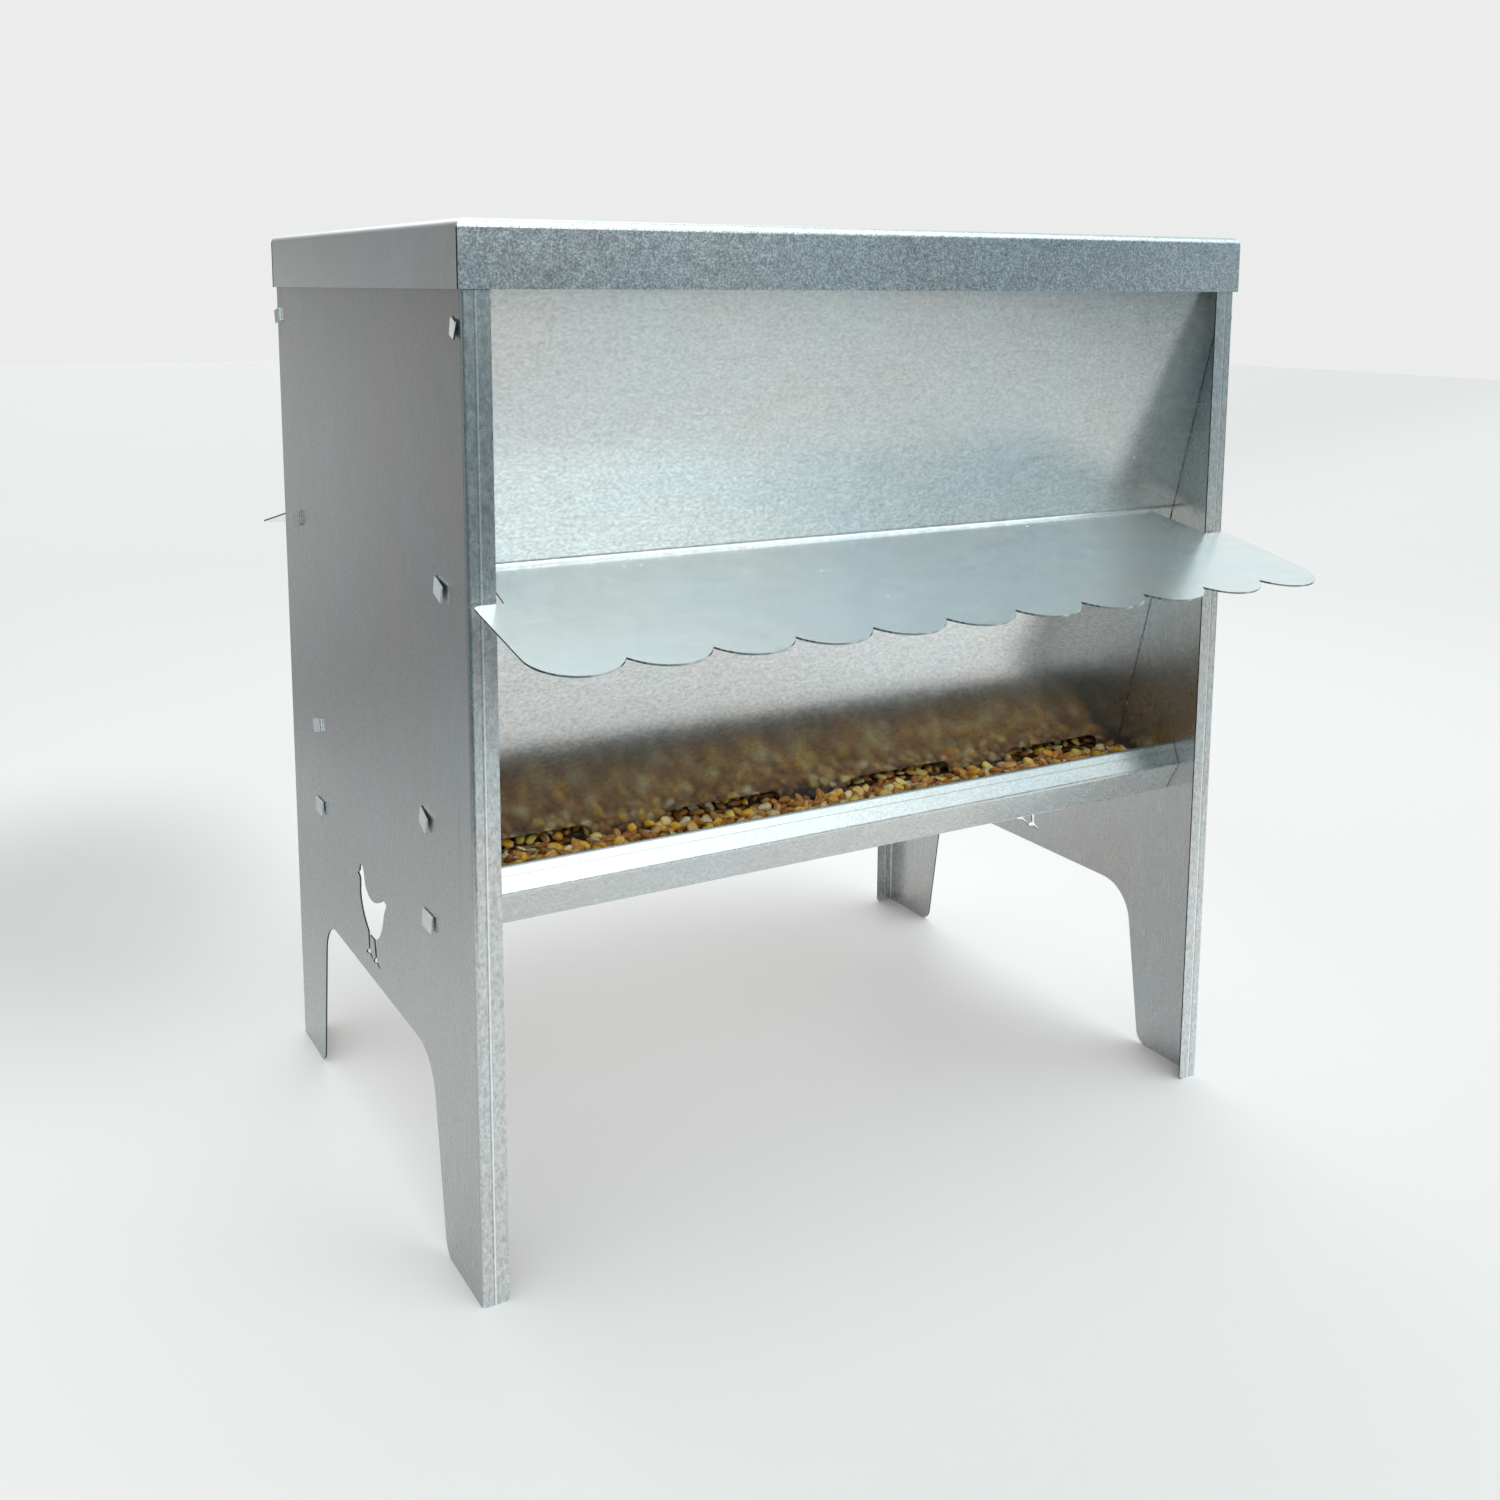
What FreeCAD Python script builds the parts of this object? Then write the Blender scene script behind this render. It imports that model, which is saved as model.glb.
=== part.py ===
import FreeCAD, Part
import Sketcher
import math
import os

# Gravity poultry feeder in folded galvanised sheet.
# Frame: origin on the ground under the middle of the body, +X to the right-hand side
# panel, +Y to the rear, +Z up.  Millimetres.  Front and rear are alike.

doc = FreeCAD.newDocument("gravity_feeder")

# ---------------------------------------------------------------- driving sizes
SIZES = {
    "body_width": 410.0,        # outer face to outer face of the side panels
    "body_depth": 290.0,        # front face to rear face of the posts
    "panel_height": 447.6,      # ground to the top edge of a side panel
    "gauge": 0.8,               # sheet thickness
    "post_flange": 12.0,        # width of the flange folded in along each post
    "bend_outside": 1.8,
    "bend_inside": 1.0,
    "arch_height": 88.0,        # ground to the underside of a side panel
    "leg_top_width": 58.0,      # leg width where it meets the arch
    "leg_foot_width": 44.4,     # leg width at the ground
    "arch_round": 22.0,
    "foot_round": 8.0,
    "flange_foot_round": 2.5,
    "wall_sin": 0.245818,       # hopper wall leans 14.23 degrees from vertical
    "wall_cos": 0.969316,
    "wall_slope": 0.253600,
    "wall_lean": 14.23,
    "wall_top": 442.0,          # top edge of a hopper wall
    "wall_half": 203.9,         # half the width of walls, baffles and trough
    "crease_setback": 35.0,     # wall meets canopy, behind the front face
    "crease_height": 308.5,
    "canopy_slope": 0.209000,   # canopy falls 11.8 degrees towards its edge
    "canopy_sin": 0.204579,
    "canopy_cos": 0.978850,
    "canopy_reach": 72.3,       # scallop tips, in front of the front face
    "cusp_reach": 61.5,         # points between scallops, in front of the front face
    "scallop_pitch": 36.8,
    "scallop_radius": 21.07,
    "end_scallop_radius": 19.4,
    "neck_gap": 2.6,            # wing's rear edge stands this far off the post
    "neck_front_half": 190.8,   # half width of the canopy where it passes the posts
    "neck_rear_half": 186.5,    # and at the crease
    "wing_round": 3.0,
    "crease_inside": 2.0,
    "crease_outside": 2.8,
    "baffle_top": 305.6,
    "baffle_ear_top": 308.7,
    "baffle_ear_half": 188.0,
    "baffle_foot": 155.0,
    "slot_half_length": 33.0,   # feed slots, half length
    "slot_half_height": 7.0,
    "slot_height": 170.5,       # centre of the feed slots above ground
    "slot_inner": 52.0,         # centres of the inner and outer feed slots
    "slot_outer": 155.0,
    "tab_half": 3.5,            # half the width of a wall tab
    "tab_slot_half": 3.9,
    "tab_flap": 10.6,           # folded length of a wall tab
    "tab_flap_top": 6.4,
    "tab_top_height": 409.0,    # heights of the three wall tabs
    "tab_mid_height": 303.0,
    "tab_low_height": 197.0,
    "lip_setback": 27.5,        # trough lip, measured behind the front face
    "lip_height": 181.0,
    "rim_setback": 22.0,        # crease below the lip
    "rim_height": 170.0,
    "floor_setback": 31.0,      # trough floor corner
    "floor_height": 153.6,
    "hem_depth": 4.6,
    "tray_bend_outside": 2.0,
    "tray_bend_inside": 1.2,
    "relief_pitch": 45.0,       # short relief slots along the trough's floor bends
    "relief_length": 6.0,
    "relief_width": 1.4,
    "tray_tab_near": 50.2,      # trough tabs, behind the front face
    "tray_tab_far": 62.8,
    "tray_tab_drop": 6.6,
    "lid_top": 450.0,
    "lid_skirt": 26.8,
    "lid_over": 1.3,            # lid stands this far outside the body
    "lid_round": 3.5,
    "seam": 0.9,                # open seam at each corner of the lid
    "grain_level": 172.0,
    "grain_half": 203.5,
    "hopper_level": 173.0,
    "fit_gap": 0.3,
}

sheet = doc.addObject("Spreadsheet::Sheet", "Sizes")
for row, (name, value) in enumerate(SIZES.items(), start=1):
    sheet.set("A%d" % row, name.replace("_", " "))
    sheet.set("B%d" % row, "%.6f" % value)
    sheet.setAlias("B%d" % row, name)
doc.recompute()


class Q:
    """A size: its value now, and the spreadsheet expression that drives it."""

    def __init__(self, v, s=None):
        self.v = float(v)
        self.s = s if s is not None else "%.6f" % float(v)

    @staticmethod
    def of(o):
        return o if isinstance(o, Q) else Q(o)

    def __add__(self, o):
        o = Q.of(o)
        return Q(self.v + o.v, "(%s + %s)" % (self.s, o.s))

    def __sub__(self, o):
        o = Q.of(o)
        return Q(self.v - o.v, "(%s - %s)" % (self.s, o.s))

    def __mul__(self, o):
        o = Q.of(o)
        return Q(self.v * o.v, "(%s * %s)" % (self.s, o.s))

    def __truediv__(self, o):
        o = Q.of(o)
        return Q(self.v / o.v, "(%s / %s)" % (self.s, o.s))

    def __neg__(self):
        return Q(-self.v, "(0 - %s)" % self.s)

    __radd__ = __add__
    __rmul__ = __mul__

    def __rsub__(self, o):
        return Q.of(o) - self


def z(name):
    return Q(SIZES[name], "Sizes." + name)


HALF_D = z("body_depth") / 2
HALF_W = z("body_width") / 2
T = z("gauge")


def wall_setback(height):
    """Distance of a hopper wall's front surface behind the front face, at a height."""
    return z("crease_setback") - (Q.of(height) - z("crease_height")) * z("wall_slope")


def canopy_height(setback):
    """Height of a canopy's upper surface, at a distance behind the front face."""
    return z("crease_height") - (z("crease_setback") - Q.of(setback)) * z("canopy_slope")


def wall_level(height):
    """wall_setback as a place along Y."""
    return wall_setback(height) - HALF_D


# ---------------------------------------------------------------- feature helpers
def new_body(name):
    body = doc.addObject("PartDesign::Body", name)
    body.Label = name
    return body


def plane(body, role):
    for f in body.Origin.OriginFeatures:
        if f.Role == role:
            return f
    raise RuntimeError("no plane " + role)


def new_sketch(body, role, name, offset=None):
    sk = body.newObject("Sketcher::SketchObject", name)
    sk.AttachmentSupport = [(plane(body, role), "")]
    sk.MapMode = "FlatFace"
    if offset is not None:
        sk.AttachmentOffset = offset
    doc.recompute()
    return sk


def bind(sk, kind, geo, point, q, name):
    """One driven coordinate of a vertex, from the sketch origin."""
    i = sk.addConstraint(Sketcher.Constraint(kind, -1, 1, geo, point, q.v))
    sk.renameConstraint(i, name)
    sk.setExpression("Constraints." + name, q.s)


def closed_poly(sk, pts, tag="p"):
    """Closed outline of straight lines; every vertex is driven."""
    n = len(pts)
    vec = [FreeCAD.Vector(a.v, b.v, 0) for a, b in pts]
    first = len(sk.Geometry)
    for i in range(n):
        sk.addGeometry(Part.LineSegment(vec[i], vec[(i + 1) % n]), False)
    for i in range(n):
        sk.addConstraint(Sketcher.Constraint("Coincident", first + i, 2, first + (i + 1) % n, 1))
    for i, (a, b) in enumerate(pts):
        bind(sk, "DistanceX", first + i, 1, a, "%sx%d" % (tag, i))
        bind(sk, "DistanceY", first + i, 1, b, "%sy%d" % (tag, i))


def arc_chain(sk, pts, bulge, tag="c"):
    """Closed outline; bulge maps a side's number to an arc: radius, a point on it and,
    for a half circle, the X of its centre."""
    n = len(pts)
    vec = [FreeCAD.Vector(a.v, b.v, 0) for a, b in pts]
    starts = []
    for i in range(n):
        a, b = vec[i], vec[(i + 1) % n]
        if i in bulge:
            mid = FreeCAD.Vector(bulge[i][1][0], bulge[i][1][1], 0)
            arc = Part.Arc(a, mid, b)
            geo = sk.addGeometry(arc, False)
            real = sk.Geometry[geo]
            forward = (real.StartPoint - a).Length < (real.EndPoint - a).Length
            starts.append((geo, 1 if forward else 2, 2 if forward else 1))
        else:
            geo = sk.addGeometry(Part.LineSegment(a, b), False)
            starts.append((geo, 1, 2))
    for i in range(n):
        g0, s0, e0 = starts[i]
        g1, s1, e1 = starts[(i + 1) % n]
        sk.addConstraint(Sketcher.Constraint("Coincident", g0, e0, g1, s1))
    for i, (a, b) in enumerate(pts):
        bind(sk, "DistanceX", starts[i][0], starts[i][1], a, "%sx%d" % (tag, i))
        bind(sk, "DistanceY", starts[i][0], starts[i][1], b, "%sy%d" % (tag, i))
    for i, entry in bulge.items():
        geo = starts[i][0]
        if len(entry) == 3:
            # a half circle: its centre lies on the line through its ends
            bind(sk, "DistanceX", geo, 3, entry[2], "%sm%d" % (tag, i))
        else:
            k = sk.addConstraint(Sketcher.Constraint("Radius", geo, entry[0].v))
            name = "%sr%d" % (tag, i)
            sk.renameConstraint(k, name)
            sk.setExpression("Constraints." + name, entry[0].s)


def pad(body, sk, length, name, both=False, reverse=False):
    f = body.newObject("PartDesign::Pad", name)
    f.Profile = sk
    f.Length = length.v
    f.setExpression("Length", length.s)
    f.Midplane = both
    f.Reversed = reverse
    doc.recompute()
    return f


def pocket(body, sk, length, name, both=False, reverse=False):
    before = body.Shape.Volume
    f = body.newObject("PartDesign::Pocket", name)
    f.Profile = sk
    f.Length = length.v
    f.setExpression("Length", length.s)
    f.Midplane = both
    f.Reversed = reverse
    doc.recompute()
    if not body.Shape.Volume < before - 0.01:
        raise RuntimeError("%s cuts nothing" % name)
    return f


def near(edge, x=None, y=None, zz=None, tol=0.6):
    c = edge.valueAt((edge.FirstParameter + edge.LastParameter) / 2)
    return all(
        want is None or abs(have - want) <= tol
        for have, want in ((c.x, x), (c.y, y), (c.z, zz))
    )


def pick(shape, test):
    return ["Edge%d" % (i + 1) for i, e in enumerate(shape.Edges) if test(e)]


def fillet(body, base, names, radius, name):
    if not names:
        raise RuntimeError("no edges for " + name)
    f = body.newObject("PartDesign::Fillet", name)
    f.Base = (base, names)
    f.Radius = radius.v
    f.setExpression("Radius", radius.s)
    doc.recompute()
    return f


def straight_len(edge):
    return (edge.Vertexes[-1].Point - edge.Vertexes[0].Point).Length if len(edge.Vertexes) > 1 else 0.0


# ---------------------------------------------------------------- side panels
def smooth(points, steps):
    """Rounded closed outline through the given points."""
    out = []
    n = len(points)
    for i in range(n):
        p0, p1, p2, p3 = (points[(i + k) % n] for k in (-1, 0, 1, 2))
        if p1[2] or p2[2]:
            out.append((p1[0], p1[1]))
            if not (p1[2] and p2[2]):
                pass
            else:
                continue
        for k in range(0 if not (p1[2] or p2[2]) else 1, steps):
            u = k / steps
            q = []
            for a in (0, 1):
                m1 = 0.0 if p1[2] else 0.5 * (p2[a] - p0[a])
                m2 = 0.0 if p2[2] else 0.5 * (p3[a] - p1[a])
                if p1[2]:
                    m1 = 0.6 * (p2[a] - p1[a])
                if p2[2]:
                    m2 = 0.6 * (p2[a] - p1[a])
                q.append(
                    (2 * u**3 - 3 * u**2 + 1) * p1[a]
                    + (u**3 - 2 * u**2 + u) * m1
                    + (-2 * u**3 + 3 * u**2) * p2[a]
                    + (u**3 - u**2) * m2
                )
            out.append(tuple(q))
    return out


# A plain walking hen, offsets from the middle of the panel along Y and heights, mm.
# The third value marks a sharp corner.
HEN = [
    (17.0, 142.0, 0), (19.6, 140.4, 0), (20.6, 137.6, 0), (23.4, 135.6, 1),
    (20.4, 134.2, 0), (20.2, 130.6, 0), (20.6, 125.0, 0), (17.6, 118.4, 0),
    (12.4, 113.2, 0), (8.2, 110.6, 1), (7.6, 101.6, 1), (12.2, 99.0, 1),
    (11.8, 98.0, 1), (6.4, 99.4, 1), (1.6, 98.2, 1), (1.4, 99.2, 1),
    (5.6, 101.4, 1), (5.4, 109.4, 1), (-1.6, 109.4, 1), (-3.2, 101.0, 1),
    (0.8, 98.2, 1), (0.2, 97.2, 1), (-4.8, 98.8, 1), (-9.8, 97.4, 1),
    (-10.0, 98.4, 1), (-5.4, 100.8, 1), (-5.2, 110.6, 1), (-11.2, 114.6, 0),
    (-16.4, 121.6, 0), (-19.6, 129.0, 0), (-23.6, 134.6, 1), (-18.8, 135.4, 0),
    (-13.0, 132.4, 0), (-5.0, 129.4, 0), (3.6, 129.0, 0), (10.2, 132.2, 0),
    (12.4, 137.4, 0), (14.0, 140.8, 0),
]


def tilted_box(cy, cz, n_low, n_high, half, flip):
    """Outline of a slot along a hopper wall, in Y and Z; flip mirrors it to the rear."""
    sn, cs = z("wall_sin"), z("wall_cos")
    out = []
    for nn, dd in ((n_low, -half), (n_high, -half), (n_high, half), (n_low, half)):
        # n runs rearward and up, d runs up along the wall
        yy = cy + Q.of(nn) * cs - Q.of(dd) * sn
        zz = cz + Q.of(nn) * sn + Q.of(dd) * cs
        out.append((-yy if flip else yy, zz))
    return out


def side_panel(name, side):
    body = new_body(name)
    w = HALF_W * side
    wi = (HALF_W - T) * side
    fl = (HALF_W - z("post_flange")) * side
    d, di = HALF_D, HALF_D - T
    sk = new_sketch(body, "XY_Plane", name + "_section")
    closed_poly(sk, [(fl, -d), (w, -d), (w, d), (fl, d), (fl, di), (wi, di), (wi, -di), (fl, -di)])
    base = pad(body, sk, z("panel_height"), name + "_sheet")
    tall = z("panel_height").v * 0.9
    b = fillet(body, base, pick(base.Shape, lambda e: straight_len(e) > tall and near(e, x=w.v) and abs(abs(e.CenterOfMass.y) - d.v) < 0.1), z("bend_outside"), name + "_bend_outside")
    b = fillet(body, b, pick(b.Shape, lambda e: straight_len(e) > tall and near(e, x=wi.v, tol=0.1) and abs(abs(e.CenterOfMass.y) - di.v) < 0.1), z("bend_inside"), name + "_bend_inside")

    # arch between the legs
    sk = new_sketch(body, "YZ_Plane", name + "_arch_outline")
    rise = (z("leg_top_width") - z("leg_foot_width")) / z("arch_height")
    foot, top = d - z("leg_foot_width"), d - z("leg_top_width")
    low = Q(-5)
    closed_poly(sk, [(-(foot + rise * 5), low), (foot + rise * 5, low), (top, z("arch_height")), (-top, z("arch_height"))])
    b = pocket(body, sk, z("body_width") * 2, name + "_arch", both=True)
    short = lambda e: abs(straight_len(e) - T.v) < 0.05
    b = fillet(body, b, pick(b.Shape, lambda e: short(e) and abs(e.CenterOfMass.z - z("arch_height").v) < 0.1 and abs(abs(e.CenterOfMass.y) - top.v) < 0.1), z("arch_round"), name + "_arch_round")
    b = fillet(body, b, pick(b.Shape, lambda e: short(e) and abs(e.CenterOfMass.z) < 0.1 and abs(abs(e.CenterOfMass.y) - foot.v) < 0.1), z("foot_round"), name + "_foot_round")
    b = fillet(body, b, pick(b.Shape, lambda e: short(e) and abs(e.CenterOfMass.z) < 0.1 and abs(e.CenterOfMass.x - fl.v) < 0.1), z("flange_foot_round"), name + "_flange_round")

    # slots for the wall tabs, front and rear
    for label, hh in (("top", "tab_top_height"), ("mid", "tab_mid_height"), ("low", "tab_low_height")):
        sk = new_sketch(body, "YZ_Plane", "%s_%s_slot_outline" % (name, label))
        hq = z(hh)
        for k, flip in enumerate((False, True)):
            closed_poly(sk, tilted_box(wall_level(hq), hq, Q(-0.5), T + 0.5, z("tab_slot_half"), flip), "abcd"[k])
        b = pocket(body, sk, z("body_width") * 2, "%s_%s_slots" % (name, label), both=True)

    # level slots for the trough tabs
    sk = new_sketch(body, "YZ_Plane", name + "_tray_slot_outline")
    for k, sgn in enumerate((1, -1)):
        y0 = (z("tray_tab_near") - HALF_D - 0.5) * sgn
        y1 = (z("tray_tab_far") - HALF_D + 0.5) * sgn
        z0, z1 = z("floor_height") - 0.5, z("floor_height") + T + 0.5
        closed_poly(sk, [(y0, z0), (y1, z0), (y1, z1), (y0, z1)], "ab"[k])
    b = pocket(body, sk, z("body_width") * 2, name + "_tray_slots", both=True)

    # hen cut-out
    sk = new_sketch(body, "YZ_Plane", name + "_hen_outline")
    pts = smooth(HEN, 3)
    vec = [FreeCAD.Vector(p[0], p[1], 0) for p in pts]
    for i in range(len(vec)):
        sk.addGeometry(Part.LineSegment(vec[i], vec[(i + 1) % len(vec)]), False)
    for i in range(len(vec)):
        sk.addConstraint(Sketcher.Constraint("Coincident", i, 2, (i + 1) % len(vec), 1))
    for i in range(len(vec)):
        sk.addConstraint(Sketcher.Constraint("Block", i))
    b = pocket(body, sk, z("body_width") * 2, name + "_hen", both=True)
    return body


# ---------------------------------------------------------------- tabs on a wall
def wall_tabs(body, name, height, flap):
    """A folded tab at each end of a hopper wall, at one height."""
    lean = z("wall_lean")
    for side in (1, -1):
        sk = body.newObject("Sketcher::SketchObject", "%s_tab_%s" % (name, "right" if side > 0 else "left"))
        sk.AttachmentSupport = [(plane(body, "XY_Plane"), "")]
        sk.MapMode = "FlatFace"
        sk.AttachmentOffset = FreeCAD.Placement(
            FreeCAD.Vector(0, wall_level(height).v, height.v),
            FreeCAD.Rotation(FreeCAD.Vector(1, 0, 0), lean.v),
        )
        sk.setExpression("AttachmentOffset.Base.y", wall_level(height).s)
        sk.setExpression("AttachmentOffset.Base.z", height.s)
        doc.recompute()
        root = (z("wall_half") - 0.6) * side
        inner = (HALF_W + 0.5) * side
        outer = (HALF_W + 0.5 + T) * side
        tip_in = (HALF_W + 1.2) * side
        tip_out = (HALF_W + 1.2 + T) * side
        closed_poly(sk, [
            (root, Q(0)), (inner, Q(0)), (tip_in, -flap), (tip_out, -flap), (outer, T * 0.35),
            (outer - Q(0.45) * side, T), (root, T),
        ])
        pad(body, sk, z("tab_half") * 2, "%s_tab_%s_pad" % (name, "r" if side > 0 else "l"), both=True)


# ---------------------------------------------------------------- upper wall with canopy
def canopy_panel(name, turned):
    body = new_body(name)
    t = T
    top = z("wall_top")
    s_top = wall_setback(top)
    tip = -z("canopy_reach") - 2.0
    sn, cs = z("canopy_sin"), z("canopy_cos")
    b_y, b_z = z("crease_setback") - HALF_D, z("crease_height")
    pts = [
        (s_top - HALF_D, top),
        (b_y, b_z),
        (tip - HALF_D, canopy_height(tip)),
        (tip - HALF_D + t * sn, canopy_height(tip) - t * cs),
        (b_y + t * 1.2258, b_z - t * 0.7655),
        (s_top - HALF_D + t / z("wall_cos"), top),
    ]
    sk = new_sketch(body, "YZ_Plane", name + "_profile")
    closed_poly(sk, pts)
    base = pad(body, sk, z("wall_half") * 2, name + "_sheet", both=True)
    long_edge = lambda e: straight_len(e) > z("wall_half").v * 1.9
    b = fillet(body, base, pick(base.Shape, lambda e: long_edge(e) and near(e, y=b_y.v, zz=b_z.v, tol=0.05)), z("crease_inside"), name + "_crease_inside")
    oy, oz = pts[4][0].v, pts[4][1].v
    b = fillet(body, b, pick(b.Shape, lambda e: long_edge(e) and near(e, y=oy, zz=oz, tol=0.05)), z("crease_outside"), name + "_crease_outside")

    # tabs near the top
    wall_tabs(body, name, z("tab_top_height"), z("tab_flap_top"))

    # the canopy narrows between the wall and the posts
    sk = new_sketch(body, "XY_Plane", name + "_neck_outline")
    far = HALF_W + 1.0
    y0 = -HALF_D - z("neck_gap")
    y1 = b_y + 3.0
    for k, side in enumerate((1, -1)):
        closed_poly(sk, [
            (far * side, y0), (z("neck_front_half") * side, y0),
            (z("neck_rear_half") * side, y1), (far * side, y1),
        ], "ab"[k])
    b = pocket(body, sk, z("crease_height") + 0.5, name + "_neck", reverse=True)

    # scalloped edge: eleven scallops, ten points between them
    sk = new_sketch(body, "XY_Plane", name + "_scallop_outline")
    pitch = z("scallop_pitch")
    y_c = -HALF_D - z("cusp_reach")
    y_l = -HALF_D - z("canopy_reach")
    half = z("wall_half")
    r, re = z("scallop_radius"), z("end_scallop_radius")
    pts, bulge = [], {}
    y_out = -HALF_D - z("canopy_reach") - 6.0
    pts.append((-(HALF_W + 2.0), y_out))
    pts.append((-(HALF_W + 2.0), y_l + re))
    pts.append((-half, y_l + re))
    cx = half.v - re.v
    bulge[2] = (re, (-cx - re.v * math.cos(math.radians(45)), (y_l + re).v - re.v * math.sin(math.radians(45))))
    pts.append((-(half - re), y_l))
    # second half of the first scallop, from its lowest place to the first point
    x0, xc = -(half - re).v, -4.5 * pitch.v
    rise = z("canopy_reach") - z("cusp_reach")
    run = (half - re) - pitch * 4.5
    rq = (run * run + rise * rise) / (rise * 2)
    cy = y_l.v + rq.v
    am = 0.5 * (math.atan2(y_c.v - cy, xc - x0) - math.pi / 2)
    bulge[3] = (rq, (x0 + rq.v * math.cos(am), cy + rq.v * math.sin(am)))
    for i in range(10):
        pts.append((pitch * (i - 4.5), y_c))
        if i < 9:
            bulge[len(pts) - 1] = (r, ((i - 4.0) * pitch.v, y_l.v))
    bulge[len(pts) - 1] = (rq, (-(x0 + rq.v * math.cos(am)), cy + rq.v * math.sin(am)))
    pts.append((half - re, y_l))
    bulge[len(pts) - 1] = (re, (cx + re.v * math.cos(math.radians(45)), (y_l + re).v - re.v * math.sin(math.radians(45))))
    pts.append((half, y_l + re))
    pts.append((HALF_W + 2.0, y_l + re))
    pts.append((HALF_W + 2.0, y_out))
    arc_chain(sk, pts, bulge)
    b = pocket(body, sk, z("body_width"), name + "_scallops", reverse=True)

    yw = y0.v
    b = fillet(body, b, pick(b.Shape, lambda e: straight_len(e) < 1.0 and abs(abs(e.CenterOfMass.x) - half.v) < 0.05 and abs(e.CenterOfMass.y - yw) < 0.05), z("wing_round"), name + "_wing_round")
    if turned:
        body.Placement = FreeCAD.Placement(FreeCAD.Vector(0, 0, 0), FreeCAD.Rotation(FreeCAD.Vector(0, 0, 1), 180))
    return body


# ---------------------------------------------------------------- lower wall
def feed_baffle(name, turned):
    body = new_body(name)
    t = T / z("wall_cos")
    hi, lo = z("baffle_ear_top"), z("baffle_foot")
    sk = new_sketch(body, "YZ_Plane", name + "_profile")
    closed_poly(sk, [
        (wall_level(hi), hi), (wall_level(lo), lo),
        (wall_level(lo) + t, lo), (wall_level(hi) + t, hi),
    ])
    pad(body, sk, z("wall_half") * 2, name + "_sheet", both=True)
    # middle of the top edge is cut down so it clears the crease
    sk = new_sketch(body, "XZ_Plane", name + "_top_outline")
    e = z("baffle_ear_half")
    closed_poly(sk, [(-e, z("baffle_top")), (e, z("baffle_top")), (e, hi + 2.0), (-e, hi + 2.0)])
    pocket(body, sk, z("body_depth") * 2, name + "_top_cut", both=True)
    # feed slots with round ends
    sk = new_sketch(body, "XZ_Plane", name + "_feed_slot_outline")
    hl, hh, cz = z("slot_half_length"), z("slot_half_height"), z("slot_height")
    for k, cx in enumerate((-z("slot_outer"), -z("slot_inner"), z("slot_inner"), z("slot_outer"))):
        x0, x1 = cx - hl + hh, cx + hl - hh
        pts = [(x0, cz - hh), (x1, cz - hh), (x1, cz + hh), (x0, cz + hh)]
        arc_chain(sk, pts, {1: (hh, (x1.v + hh.v, cz.v), x1), 3: (hh, (x0.v - hh.v, cz.v), x0)}, "abcd"[k])
    pocket(body, sk, z("body_depth") * 2, name + "_feed_slots", both=True)
    wall_tabs(body, name + "_mid", z("tab_mid_height"), z("tab_flap"))
    wall_tabs(body, name + "_low", z("tab_low_height"), z("tab_flap"))
    if turned:
        body.Placement = FreeCAD.Placement(FreeCAD.Vector(0, 0, 0), FreeCAD.Rotation(FreeCAD.Vector(0, 0, 1), 180))
    return body


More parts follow.
